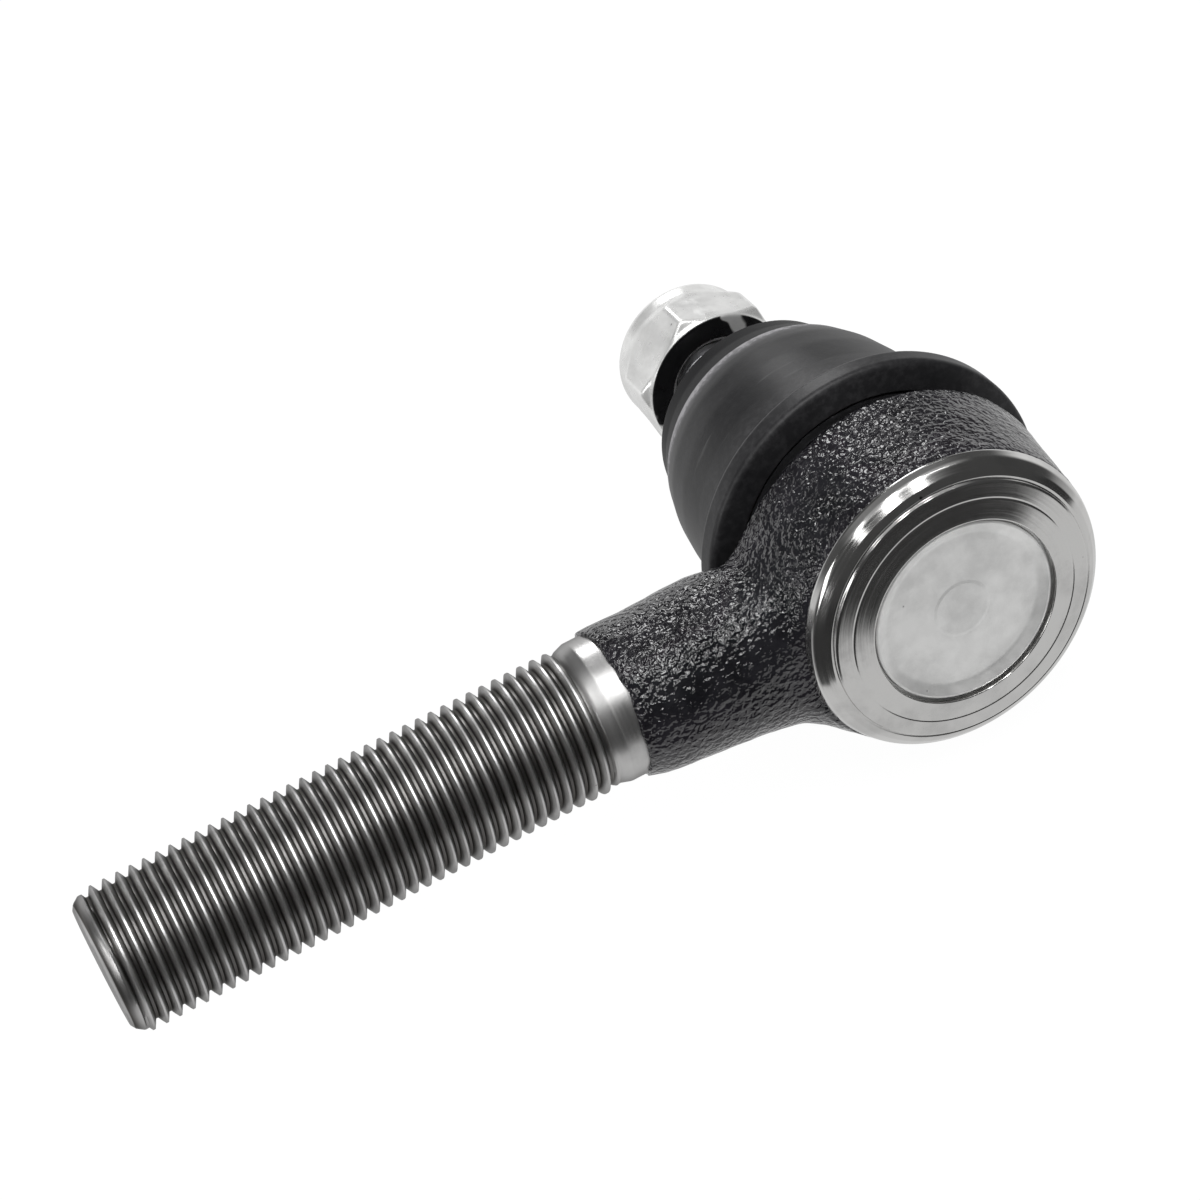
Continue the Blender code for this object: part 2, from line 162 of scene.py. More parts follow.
# Forged arm: distance from the stud's axis, half width, low side, high side, squareness
ARM = np.array((
    (6.0, 13.2, -11.4, 1.9, 3.0),
    (12.6, 12.8, -11.7, 2.0, 2.9),
    (16.4, 10.6, -12.1, 2.2, 2.6),
    (18.6, 9.6, -12.2, 2.7, 2.4),
    (21.0, 9.3, -12.25, 4.4, 2.25),
    (23.5, 9.2, -12.2, 5.5, 2.15),
    (27.0, 8.95, -11.95, 5.85, 2.1),
    (31.0, 8.85, -11.65, 6.05, 2.0),
    (33.6, 8.72, -11.2, 6.30, 2.0),
    (35.4, 8.50, -10.55, 6.45, 2.0),
    (36.6, 8.08, -10.1, 6.06, 2.0),
    (38.4, 7.6, -9.6, 5.6, 2.0),
))


# ---------------------------------------------------------------- meshes


def add_mesh(name, points, faces, material, body, node, smooth_angle=40):
    """Makes a piece from points in millimetres about the ball, and hides the CAD node that it stands in for.
    """
    mesh = bpy.data.meshes.new(name)
    world = np.asarray(points, float) * MM + np.array(BALL)
    mesh.from_pydata(world.tolist(), [], [tuple(int(i) for i in face) for face in faces])
    mesh.validate()
    mesh.update()
    mesh.materials.append(material)
    mesh.shade_smooth()
    mesh.set_sharp_from_angle(angle=math.radians(smooth_angle))
    piece = bpy.data.objects.new(name, mesh)
    bpy.context.scene.collection.objects.link(piece)
    if body:
        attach(piece, body)
    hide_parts(node)
    return piece


def welded(piece, distance=2e-6):
    """Welds coincident points, so that an outline touching its axis closes cleanly."""
    work = bmesh.new()
    work.from_mesh(piece.data)
    bmesh.ops.remove_doubles(work, verts=work.verts, dist=distance)
    bmesh.ops.dissolve_degenerate(work, edges=work.edges, dist=1e-7)
    bmesh.ops.recalc_face_normals(work, faces=work.faces)
    work.to_mesh(piece.data)
    work.free()
    piece.data.update()
    return piece


def fillet_arc(before, here, after, radius, steps):
    """Points round the corner at here, tangent to the stretches that come from before and go to after."""
    back = (before - here) / np.linalg.norm(before - here)
    on = (after - here) / np.linalg.norm(after - here)
    half = math.acos(np.clip(back @ on, -1, 1)) / 2
    start = here + back * radius / math.tan(half)
    end = here + on * radius / math.tan(half)
    middle = here + (back + on) / np.linalg.norm(back + on) * radius / math.sin(half)
    first = math.atan2(*(start - middle)[::-1])
    sweep = (math.atan2(*(end - middle)[::-1]) - first + math.pi) % math.tau - math.pi
    angles = [first + sweep * step / steps for step in range(steps + 1)]
    return [tuple(middle + radius * np.array([math.cos(a), math.sin(a)])) for a in angles]


def rounded(corners, steps=5):
    """An outline whose corners, given as (radius, height, fillet), are replaced by arcs."""
    outline = []
    count = len(corners)
    for index, (x, y, fillet) in enumerate(corners):
        if fillet <= 0:
            outline.append((x, y))
            continue
        before = np.array(corners[index - 1][:2], float)
        after = np.array(corners[(index + 1) % count][:2], float)
        outline += fillet_arc(before, np.array([x, y], float), after, fillet, steps)
    return held_flat(outline)


def held_flat(outline, margin=0.07):
    """The outline with a point near each end of every long stretch, so that it is shaded flat between."""
    held = []
    for start, end in zip(outline, outline[1:]):
        start, end = np.array(start, float), np.array(end, float)
        length = np.linalg.norm(end - start)
        held.append(tuple(start))
        if length > 6 * margin:
            step = (end - start) / length * margin
            held += [tuple(start + step), tuple(end - step)]
    return held + [outline[-1]]


def refined(outline, longest):
    """The closed outline with points added, so that no stretch is longer than a limit."""
    fine = []
    for here, after in zip(outline, outline[1:] + outline[:1]):
        pieces = max(1, int(math.ceil(math.dist(here, after) / longest)))
        for step in range(pieces):
            share = step / pieces
            fine.append((here[0] + share * (after[0] - here[0]), here[1] + share * (after[1] - here[1])))
    return fine


def arc(radius, start, end, steps):
    """Points on an arc about the ball's centre, from one elevation to another in degrees."""
    angles = np.radians(np.linspace(start, end, steps + 1))
    return [(radius * math.cos(a), radius * math.sin(a)) for a in angles]


def grid_faces(rows, columns, closed_rows):
    """Quads of a grid that wraps round its columns and, if asked, round its rows."""
    faces = []
    for row in range(rows if closed_rows else rows - 1):
        after = (row + 1) % rows
        for column in range(columns):
            beside = (column + 1) % columns
            faces.append((row * columns + column, after * columns + column,
                          after * columns + beside, row * columns + beside))
    return faces


def turned(outline, steps=TURN_STEPS, wobble=None, closed=True):
    """Points and faces of an outline turned about the stud's axis."""
    outline = np.asarray(outline, float)
    angles = np.linspace(0, math.tau, steps, endpoint=False)
    radii = np.maximum(outline[:, 0], 0.0)
    heights = outline[:, 1][:, None]
    out = radii[:, None] * np.ones(steps)
    if wobble is not None:
        out = out + wobble(heights, angles[None, :]) * (radii[:, None] > 0)
    grid = np.stack([out * np.cos(angles), heights * np.ones(steps), out * np.sin(angles)], axis=-1)
    return grid.reshape(-1, 3), grid_faces(len(outline), steps, closed)


def threaded(start, end, pitch, envelope, crest, depth, steps):
    """A single-start thread from start to end, held inside an envelope radius.

    Returns arrays of distance along the axis, angle and radius, with one row for each line of the helix.
    """
    turns = int(math.ceil((end - start) / pitch)) + 1
    base = (np.arange(-1, turns)[:, None] + FLANK_LINES[None, :]).ravel() * pitch + start
    drop = np.tile(FLANK_DEPTHS, turns + 1) * depth
    angles = np.linspace(0, math.tau, steps + 1)
    along = base[:, None] + pitch * angles[None, :] / math.tau
    radius = (crest - drop)[:, None] * np.ones_like(along)
    along = np.clip(along, start, end)
    return along, angles, envelope(along, radius)


def helix_faces(rows, steps):
    """Quads of a helical grid, whose last column meets the first one a pitch further on."""
    faces = []
    width = steps + 1
    for row in range(rows - 1):
        for column in range(steps):
            faces.append((row * width + column, row * width + column + 1,
                          (row + 1) * width + column + 1, (row + 1) * width + column))
    return faces


def crossings(values, shape):
    """For each cell of a grid, the sum of the places where its edges are crossed, and their count."""
    total = np.zeros(shape + (3,))
    count = np.zeros(shape)

    def corner_view(corner):
        return values[tuple(slice(c, c + n) for c, n in zip(corner, shape))]

    for first in [(i, j, k) for i in (0, 1) for j in (0, 1) for k in (0, 1)]:
        for axis in range(3):
            if first[axis]:
                continue
            second = tuple(c + (a == axis) for a, c in enumerate(first))
            start, end = corner_view(first), corner_view(second)
            crossing = (start < 0) != (end < 0)
            share = np.where(crossing, start / np.where(crossing, start - end, 1.0), 0.0)
            for part in range(3):
                place = first[part] + (share if part == axis else 0.0)
                total[..., part] += np.where(crossing, place, 0.0)
            count += crossing
    return total, count


def net_faces(inside, index):
    """Quads round every grid edge that the surface crosses, joining the four cells beside that edge."""
    faces = []
    for axis in range(3):
        u, v = (axis + 1) % 3, (axis + 2) % 3
        a = inside[tuple(slice(0, -1) if i == axis else slice(1, -1) for i in range(3))]
        b = inside[tuple(slice(1, None) if i == axis else slice(1, -1) for i in range(3))]
        for flag, flip in ((a & ~b, False), (~a & b, True)):
            where = np.argwhere(flag)
            where[:, u] += 1
            where[:, v] += 1
            ring = []
            for du, dv in ((0, 0), (1, 0), (1, 1), (0, 1)):
                cell = where.copy()
                cell[:, u] -= du
                cell[:, v] -= dv
                ring.append(index[tuple(cell.T)])
            quad = np.stack(ring, axis=1)
            faces.append(quad[:, ::-1] if flip else quad)
    return np.concatenate(faces)


def slope_of(field, points, small):
    """The field's gradient at points, by central differences."""
    sides = []
    for shift in np.eye(3) * small:
        sides.append((field(*(points + shift).T) - field(*(points - shift).T)) / (2 * small))
    return np.stack(sides, axis=1)


def surface_net(field, low, high, step):
    """The zero surface of a distance field as points moved onto the field, quads and outward directions."""
    sides = [np.arange(a, b + step, step) for a, b in zip(low, high)]
    values = field(*np.meshgrid(*sides, indexing="ij"))
    shape = tuple(len(side) - 1 for side in sides)
    total, count = crossings(values, shape)
    used = count > 0
    index = np.full(shape, -1)
    index[used] = np.arange(used.sum())
    points = (np.argwhere(used) + total[used] / count[used][:, None]) * step + np.array(low)
    for _ in range(3):
        here = field(*points.T)
        slope = slope_of(field, points, step * 0.01)
        length = np.maximum((slope ** 2).sum(1), 0.05)
        move = -here[:, None] * slope / length[:, None]
        points = points + np.clip(move, -step / 2, step / 2)
    return points, net_faces(values < 0, index), slope / np.linalg.norm(slope, axis=1)[:, None]


def smooth_max(a, b, width):
    """The larger of two fields, with the edge between them rounded over a width."""
    share = np.clip(0.5 + 0.5 * (a - b) / width, 0, 1)
    return b + (a - b) * share + width * share * (1 - share)


def smooth_min(a, b, width):
    """The smaller of two fields, with the edge between them rounded over a width."""
    return -smooth_max(-a, -b, width)


def curve_through(at, knots, values):
    """A smooth curve through knots, as cubic Hermite pieces with shape-preserving slopes."""
    widths = np.diff(knots)
    rates = np.diff(values) / widths
    before, after = rates[:-1], rates[1:]
    slopes = np.zeros(len(knots))
    slopes[1:-1] = np.where(before * after > 0, 2 * before * after / (before + after + 1e-12), 0)
    slopes[0], slopes[-1] = rates[0], rates[-1]
    at = np.clip(at, knots[0], knots[-1])
    piece = np.clip(np.searchsorted(knots, at) - 1, 0, len(widths) - 1)
    t = (at - knots[piece]) / widths[piece]
    start, end = values[piece], values[piece + 1]
    lean = slopes[piece] * widths[piece], slopes[piece + 1] * widths[piece]
    return (start * (2 * t ** 3 - 3 * t ** 2 + 1) + lean[0] * (t ** 3 - 2 * t ** 2 + t)
            + end * (3 * t ** 2 - 2 * t ** 3) + lean[1] * (t ** 3 - t ** 2))


# ---------------------------------------------------------------- materials


class Nodes:
    """A short way to write a node tree. A value is a number, a colour or another node's output."""

    def __init__(self, tree):
        self.tree = tree

    def add(self, kind, **settings):
        node = self.tree.nodes.new(kind)
        for key, value in settings.items():
            setattr(node, key, value)
        return node

    def link(self, source, target):
        self.tree.links.new(source, target)

    def feed(self, socket, value):
        """Gives a socket its value."""
        if isinstance(value, tuple):
            socket.default_value = (*value, 1.0)
        elif isinstance(value, (int, float)):
            socket.default_value = value
        else:
            self.link(value, socket)

    def axes(self, place):
        """The three coordinates of a place or a direction."""
        node = self.add("ShaderNodeSeparateXYZ")
        self.link(place, node.inputs["Vector"])
        return node.outputs["X"], node.outputs["Y"], node.outputs["Z"]

    def remap(self, value, low, high, to_low, to_high):
        node = self.add("ShaderNodeMapRange", interpolation_type="SMOOTHSTEP")
        for key, number in (("From Min", low), ("From Max", high), ("To Min", to_low), ("To Max", to_high)):
            node.inputs[key].default_value = number
        self.link(value, node.inputs["Value"])
        return node.outputs["Result"]

    def maths(self, operation, *values):
        node = self.add("ShaderNodeMath", operation=operation)
        for socket, value in zip(node.inputs, values):
            self.feed(socket, value)
        return node.outputs["Value"]

    def times(self, a, b):
        return self.maths("MULTIPLY", a, b)

    def plus(self, a, b):
        return self.maths("ADD", a, b)

    def minus(self, a, b):
        return self.maths("SUBTRACT", a, b)

    def layered(self, factor, first, second):
        """Two shaders, mixed by a factor."""
        node = self.add("ShaderNodeMixShader")
        self.feed(node.inputs[0], factor)
        self.link(first, node.inputs[1])
        self.link(second, node.inputs[2])
        return node.outputs[0]


class Finish(Nodes):
    """A Principled material whose patterns are placed by the row frame's coordinates."""

    def __init__(self, name):
        self.material = bpy.data.materials.new(name)
        self.material.use_nodes = True
        super().__init__(self.material.node_tree)
        self.surface = self.tree.nodes["Principled BSDF"]
        self.place = self.add("ShaderNodeTexCoord").outputs["Object"]
        self.relief = None

    def set(self, **values):
        """Sets the surface's inputs, named with _ for spaces."""
        for key, value in values.items():
            self.feed(self.surface.inputs[key.replace("_", " ")], value)

    def noise(self, scale, detail=3.0, roughness=0.55, where=None, distortion=0.0):
        node = self.add("ShaderNodeTexNoise")
        node.inputs["Scale"].default_value = scale
        node.inputs["Detail"].default_value = detail
        node.inputs["Roughness"].default_value = roughness
        node.inputs["Distortion"].default_value = distortion
        self.link(where or self.place, node.inputs["Vector"])
        return node.outputs["Fac"]

    def stretched(self, scale):
        """The coordinates with each axis scaled."""
        mapping = self.add("ShaderNodeMapping")
        mapping.inputs["Scale"].default_value = scale
        self.link(self.place, mapping.inputs["Vector"])
        return mapping.outputs["Vector"]

    def specks(self, scale, sizes, patch_scale, patch_edge):
        """Dots whose edges fade over a range of sizes, kept only in patches where a coarser noise is high."""
        node = self.add("ShaderNodeTexVoronoi")
        node.inputs["Scale"].default_value = scale
        self.link(self.place, node.inputs["Vector"])
        dots = self.remap(node.outputs["Distance"], *sizes, 1.0, 0.0)
        return self.times(dots, self.remap(self.noise(patch_scale, 1.0), *patch_edge, 0.0, 1.0))

    def mix(self, factor, a, b):
        node = self.add("ShaderNodeMix", data_type="RGBA")
        self.feed(node.inputs[0], factor)
        self.feed(node.inputs[6], a)
        self.feed(node.inputs[7], b)
        return node.outputs[2]

    def vary_roughness(self, pattern, least, most):
        """Spreads the roughness over the middle of a noise's range."""
        self.set(Roughness=self.remap(pattern, 0.3, 0.7, least, most))

    def bump(self, height, depth_mm):
        """Adds one layer of relief on top of those already there."""
        node = self.add("ShaderNodeBump")
        node.inputs["Strength"].default_value = 1.0
        node.inputs["Distance"].default_value = depth_mm * MM
        self.link(height, node.inputs["Height"])
        if self.relief is not None:
            self.link(self.relief, node.inputs["Normal"])
        self.relief = node.outputs["Normal"]
        self.link(self.relief, self.surface.inputs["Normal"])

    def turning_marks(self, axis, centre):
        """Noise in rings round an axis of the row frame through a point, and the distance from that axis."""
        places = self.axes(self.place)
        across = [self.minus(places[a], centre[a]) for a in range(3) if a != axis]
        squares = [self.times(part, part) for part in across]
        radius = self.maths("SQRT", self.plus(*squares))
        fine, coarse = 5200.0, 60.0
        rings = self.add("ShaderNodeCombineXYZ")
        self.link(self.times(radius, fine), rings.inputs[0])
        self.link(self.times(places[axis], fine), rings.inputs[1])
        self.link(self.times(across[0], coarse), rings.inputs[2])
        return self.noise(1.0, 2.0, 0.6, where=rings.outputs["Vector"]), radius


def darker(tone, share):
    """A colour dimmed to a share of itself."""
    return tuple(part * share for part in tone)


def black_paint():
    """Gloss black paint over a wrinkled forged skin."""
    s = Finish("black_paint")
    cloud = s.remap(s.noise(260.0, 4.0), 0.3, 0.7, 0.0, 1.0)
    s.set(Base_Color=s.mix(cloud, (0.0045, 0.004, 0.0058), (0.013, 0.012, 0.0155)), Specular_IOR_Level=0.8)
    s.vary_roughness(s.noise(900.0, 2.0), 0.06, 0.12)
    s.bump(s.noise(330.0, 2.0, 0.5), 0.16)
    s.bump(s.noise(1500.0, 1.0, 0.5, distortion=0.3), 0.40)
    s.bump(s.noise(3600.0, 2.0, 0.6), 0.012)
    return s.material


def machined_steel(name, tone, axis, rough, mark_depth=0.003, edge=1.0, shaded_valleys=None):
    """Turned steel: fine tool marks round the axis, faint stains and a few dark specks.

    Its edges reflect less where edge is below 1, and the thread's grooves get a painted shade that fades out
    over the given range of radii.
    """
    s = Finish(name)
    centre = (0.0, 0.0, 0.0) if axis == ALONG_SHANK else tuple(BALL)
    lines, radius = s.turning_marks(axis, centre)
    stains = s.noise(170.0, 5.0, 0.6)
    colour = s.mix(s.remap(stains, 0.42, 0.72, 0.0, 0.5), tone, darker(tone, 0.62))
    colour = s.mix(s.specks(420.0, (0.035, 0.085), 120.0, (0.60, 0.66)), colour, (0.05, 0.045, 0.04))
    if shaded_valleys:
        # Painted shade: the bottoms of the thread's grooves are darkened as if they lay in shade
        root = shaded_valleys[0] * MM
        deep = s.remap(radius, root, shaded_valleys[1] * MM, 1.0, 0.0)
        in_thread = s.remap(radius, root - 0.15 * MM, root, 0.0, 1.0)
        colour = s.mix(s.times(deep, in_thread), colour, (0.13, 0.125, 0.12))
    s.set(Metallic=1.0, Base_Color=colour, Specular_Tint=(edge, edge, edge))
    s.vary_roughness(s.plus(s.times(lines, 0.5), s.times(stains, 0.5)), *rough)
    s.bump(lines, mark_depth)
    return s.material


def zinc(name, tone, rough, metallic, shaded_below=None):
    """Zinc plate with a fine grain, faint clouding and small pits, and a painted shade below a height if
    given, broken by lighter patches of painted reflection.
    """
    s = Finish(name)
    cloud = s.noise(210.0, 5.0, 0.6)
    pits = s.specks(520.0, (0.03, 0.09), 230.0, (0.58, 0.64))
    colour = s.mix(s.remap(cloud, 0.35, 0.7, 0.0, 1.0), tone, darker(tone, 0.82))
    colour = s.mix(s.times(pits, 0.7), colour, (0.12, 0.12, 0.12))
    if shaded_below:
        # Painted shade: the bearing face is coloured almost black, as where it reflects the dark boot, with
        # lighter patches as a painted reflection of the bright floor
        limit = BALL.y + shaded_below * MM
        bearing_shade = s.remap(s.axes(s.place)[1], limit - 0.06 * MM, limit + 0.06 * MM, 1.0, 0.0)
        shade_share = s.remap(s.noise(150.0, 2.0), 0.56, 0.60, 1.0, 0.25)
        colour = s.mix(s.times(bearing_shade, shade_share), colour, (0.012, 0.012, 0.013))
    s.set(Metallic=metallic, Base_Color=colour)
    s.vary_roughness(s.noise(700.0, 4.0), rough - 0.06, rough + 0.08)
    s.bump(s.noise(2400.0, 4.0, 0.6), 0.012)
    s.bump(cloud, 0.05)
    s.bump(s.minus(1.0, pits), 0.05)
    return s.material


def boot_dust_and_highlight(s, height):
    """How much light colour the boot gets: a painted highlight along its shoulder's rim, dust at its foot,
    and a trace of dust elsewhere.
    """
    # Painted highlight: the skirt just below the shoulder is lightened as if its rim caught the light
    rim = s.maths("POWER", s.remap(height, BOOT_SHOULDER - 3.5, BOOT_SHOULDER, 0.0, 1.3), 3.0)
    above_foot = s.remap(height, 8.0, 15.0, 0.16, 0.0)
    foot = s.times(above_foot, s.remap(height, BOOT_FOOT - 0.1, BOOT_FOOT + 0.3, 0.4, 1.0))
    wiped = s.noise(90.0, 4.0, 0.6, where=s.stretched((1.0, 0.35, 1.0)))
    bloom = s.remap(s.noise(1500.0, 4.0), 0.4, 0.7, 0.5, 1.0)
    dust_and_rim_highlight = s.plus(s.plus(rim, foot), 0.05)
    return s.times(s.times(s.remap(wiped, 0.35, 0.7, 0.5, 1.0), bloom), dust_and_rim_highlight)


def boot_rubber():
    """Satin rubber with a moulded grain: dusty on the skirt with a painted highlight on the shoulder's rim
    and a painted shadow line at the crease, clean and darker above the shoulder.
    """
    s = Finish("boot_rubber")
    height = s.times(s.minus(s.axes(s.place)[1], BALL.y), 1 / MM)
    skirt = s.remap(height, BOOT_SHOULDER - 0.1, BOOT_SHOULDER + 0.15, 1.0, 0.0)
    # Painted shadow: a thin band at the crease above the bead is kept black and dull, standing in for the
    # shade where the bead hides the skirt
    from_crease_line = s.maths("ABSOLUTE", s.minus(height, BOOT_FOOT + 0.2))
    skirt_off_crease_shadow = s.times(skirt, s.remap(from_crease_line, 0.30, 0.38, 0.0, 1.0))
    dust_and_highlight = s.times(boot_dust_and_highlight(s, height), skirt_off_crease_shadow)
    scuffs = s.remap(s.noise(60.0, 3.0, 0.6, where=s.stretched((1.0, 14.0, 1.0))), 0.68, 0.76, 0.0, 1.0)
    # This light colour serves both as dust and as the painted highlight on the shoulder's rim
    colour = s.mix(dust_and_highlight, (0.004, 0.004, 0.005), (0.300, 0.295, 0.306))
    colour = s.mix(s.times(scuffs, 0.35), colour, (0.10, 0.10, 0.10))
    colour = s.mix(s.specks(330.0, (0.05, 0.09), 150.0, (0.61, 0.66)), colour, (0.30, 0.29, 0.28))
    s.set(Base_Color=colour, Specular_IOR_Level=s.remap(skirt_off_crease_shadow, 0.0, 1.0, 0.05, 0.35))
    s.set(Roughness=s.remap(dust_and_highlight, 0.0, 0.5, 0.40, 0.58))
    s.bump(s.noise(4200.0, 3.0, 0.6), 0.012)
    s.bump(s.noise(160.0, 2.0), 0.08)
    return s.material


def moulded(name, tone, rough):
    """Moulded bearing plastic with a soft sheen."""
    s = Finish(name)
    s.set(Base_Color=s.mix(s.noise(240.0, 3.0), tone, darker(tone, 0.85)), Subsurface_Weight=0.08)
    s.vary_roughness(s.noise(1400.0, 3.0), rough - 0.08, rough + 0.08)
    s.bump(s.noise(2500.0, 3.0), 0.01)
    return s.material


def phosphate():
    """Dark phosphated spring steel with an oily sheen."""
    s = Finish("phosphate")
    crystals = s.noise(3000.0, 4.0, 0.7)
    s.set(Metallic=0.9, Base_Color=s.mix(crystals, (0.09, 0.09, 0.10), (0.20, 0.20, 0.21)))
    s.vary_roughness(s.noise(400.0, 3.0), 0.30, 0.48)
    s.bump(crystals, 0.01)
    return s.material


# ---------------------------------------------------------------- housing


def paint_line(y, z):
    """How far past its mean the paint runs along the shank: it wanders a little."""
    turn = np.arctan2(z, y - SHANK_AXIS)
    return 0.15 + 0.22 * np.sin(2 * turn + 0.6) + 0.10 * np.sin(7 * turn) + 0.05 * np.sin(17 * turn + 1.0)


def arm_field(x, y, z):
    """Distance to the forged arm, whose section changes along the shank and ends at the paint line."""
    distance = -x
    half_width, low, high, square = (curve_through(distance, ARM[:, 0], ARM[:, i]) for i in (1, 2, 3, 4))
    middle, half_height = (low + high) / 2, (high - low) / 2
    across = np.abs(z / half_width) ** square + np.abs((y - middle) / half_height) ** square
    arm = (np.maximum(across, 1e-9) ** (1 / square) - 1) * np.minimum(half_width, half_height)
    return np.maximum(np.maximum(arm, distance - PAINT_END - paint_line(y, z)), -distance)


def forged_field(x, y, z):
    """Distance to the painted skin: barrel joined to arm, cut off by the bare band, hollow inside."""
    radius = np.sqrt(x * x + z * z)
    side_slope = (BARREL_RADIUS - BAND_RADIUS) / (BARREL_TOP - BAND_TOP)
    side = radius - (BAND_RADIUS + side_slope * (y - BAND_TOP))
    barrel = smooth_max(side, y - BARREL_TOP, 1.8)
    band_cut = 0.73 * np.minimum(radius - BAND_RADIUS, 0) - 0.68 * (y - BAND_TOP) + 0.10
    body = smooth_min(barrel, arm_field(x, y, z), 2.6)
    body = smooth_max(body, band_cut, 0.2)
    return np.maximum(body, SKIN_INSIDE - radius)


def forged_skin(paint):
    """The painted forging, lumpy like a skin from worn dies."""
    low = (-38.6, LIP_CREST + 1.0, -BARREL_RADIUS - 1.0)
    high = (BARREL_RADIUS + 1.0, 7.0, BARREL_RADIUS + 1.0)
    points, faces, outward = surface_net(forged_field, low, high, SKIN_GRID)
    places = [Vector(point) for point in points]
    lumps = np.array([noise.noise(p * 0.33) * 0.07 + noise.noise(p * 0.9) * 0.03 for p in places])
    points = points + outward * lumps[:, None]
    return add_mesh("forged_skin", points, faces, paint, "base", "housing", 60)


def lip_and_band():
    """Outside of the rolled lip and the bare band, from the opening outwards."""
    crest = LIP_CREST
    return [
        (LIP_OPENING, crest + 0.65, 0.12),
        (LIP_OPENING, crest, 0.1),
        (LIP_GROOVE - 0.15, crest + 0.29, 0.3),
        (LIP_GROOVE, crest + 0.37, 0.06),
        (LIP_GROOVE + 0.15, crest + 0.33, 0.12),
        (LIP_EDGE - 0.2, crest + 0.52, 0.3),
        (LIP_EDGE, crest + 0.62, 0.1),
        (LIP_EDGE + 0.12, crest + 0.92, 0.08),
        (LIP_EDGE + 0.4, crest + 0.86, 0.15),
        (16.1, crest + 1.25, 0.8),
        (16.95, crest + 2.1, 1.2),
        (BAND_RADIUS + 0.02, BAND_TOP + 0.1, 0.5),
        (BAND_RADIUS - 0.5, BAND_TOP + 1.2, 0.2),
    ]


def neck_and_groove():
    """Outside of the machined neck, with the groove that the boot's foot grips."""
    groove = NECK_RADIUS - 0.6
    return [
        (NECK_RADIUS + 1.2, BARREL_TOP - 0.6, 0.2),
        (NECK_RADIUS + 0.9, 1.2, 0.6),
        (NECK_RADIUS, 2.6, 0.6),
        (NECK_RADIUS, 3.3, 0.15),
        (groove, 3.5, 0.1),
        (groove, 6.9, 0.1),
        (NECK_RADIUS, 7.2, 0.15),
        (NECK_RADIUS, HOUSING_TOP - 0.5, 0.3),
        (groove, HOUSING_TOP, 0.2),
    ]


def turned_core(steel, paint):
    """Rolled lip, bare band, ball socket, and the painted neck that carries the boot."""
    outside = rounded(lip_and_band() + neck_and_groove(), 4)
    mouth = math.degrees(math.asin(SOCKET_MOUTH / SOCKET_RADIUS))
    inside = [(SOCKET_FLARE, HOUSING_TOP)] + arc(SOCKET_RADIUS, mouth, 0, 16)
    cap_bore = CAP_RADIUS + 0.3
    inside += [(SOCKET_RADIUS, SOCKET_LOW), (cap_bore, SOCKET_LOW), (cap_bore, LIP_CREST + 0.65)]
    points, faces = turned(outside + inside)
    piece = add_mesh("turned_core", points, faces, steel, "base", "housing", 50)
    piece.data.materials.append(paint)
    bare_below = BALL.y + (BAND_TOP + 0.9) * MM
    hollow_radius = (SOCKET_RADIUS + 0.2) * MM
    for face in piece.data.polygons:
        bare = face.center.y < bare_below
        hollow = math.hypot(face.center.x - BALL.x, face.center.z) < hollow_radius
        face.material_index = 0 if bare or hollow else 1
    return piece


def shank_envelope(along, radius):
    """Holds the shank's thread inside its chamfered tip, and fades it into the bare shoulder."""
    chamfer, rim = SHANK_TIP - 1.75, SHANK_TIP - 0.35
    widest = SHANK_RADIUS + 0.05
    tip = np.minimum(widest, widest - (along - chamfer) * 0.70)
    tip = np.where(along > rim, tip - (along - rim) * 0.9, tip)
    shoulder = np.clip((THREAD_START + 0.2 - along) / SHOULDER_LENGTH, 0, 1) ** 0.9
    bare = SHANK_UNDERCUT + SHOULDER_RISE * shoulder
    run_out = np.clip((along - THREAD_START) / 1.3, 0, 1)
    run_out = run_out * np.clip((SHANK_TIP - 1.35 - along) / 0.3, 0, 1)
    return np.minimum(bare + (radius - bare) * run_out, tip)


def threaded_shank(steel):
    """The M16 shank with its chamfered tip, run-out and bare shoulder."""
    steps = 128
    along, angles, radius = threaded(
        PAINT_END - 0.3, SHANK_TIP, SHANK_PITCH, shank_envelope, SHANK_RADIUS, SHANK_THREAD_DEPTH, steps)
    helix = np.stack([-along, SHANK_AXIS + radius * np.cos(angles), radius * np.sin(angles)], axis=-1)
    ring = [(-SHANK_TIP, SHANK_AXIS + TIP_RING * math.cos(a), TIP_RING * math.sin(a)) for a in angles[:-1]]
    points = np.concatenate([helix.reshape(-1, 3), np.array(ring), [[-SHANK_TIP, SHANK_AXIS, 0.0]]])
    faces = helix_faces(len(along), steps)
    last_row = (len(along) - 1) * (steps + 1)
    first = last_row + steps + 1
    for column in range(steps):
        beside = (column + 1) % steps
        faces.append((last_row + column, last_row + column + 1, first + beside, first + column))
        faces.append((first + column, first + beside, first + steps))
    return welded(add_mesh("threaded_shank", points, faces, steel, "base", "housing", 24))


# ---------------------------------------------------------------- cap, stud and nut


def end_cap(plate):
    """Dished steel plate with a faint raised centre."""
    floor = LIP_CREST + 0.95
    outline = rounded([
        (0.0, floor - 0.05, 0), (3.0, floor - 0.05, 0.3), (3.35, floor, 0.3), (9.1, floor, 1.1),
        (10.15, LIP_CREST + 0.38, 0.2), (10.45, LIP_CREST + 0.42, 0.15), (10.45, floor, 0.1),
        (CAP_RADIUS, floor, 0.15), (CAP_RADIUS, CAP_INSIDE, 0.15), (0.0, CAP_INSIDE, 0),
    ])
    points, faces = turned(outline)
    return welded(add_mesh("cap_plate", points, faces, plate, "base", "end_cap", 50))


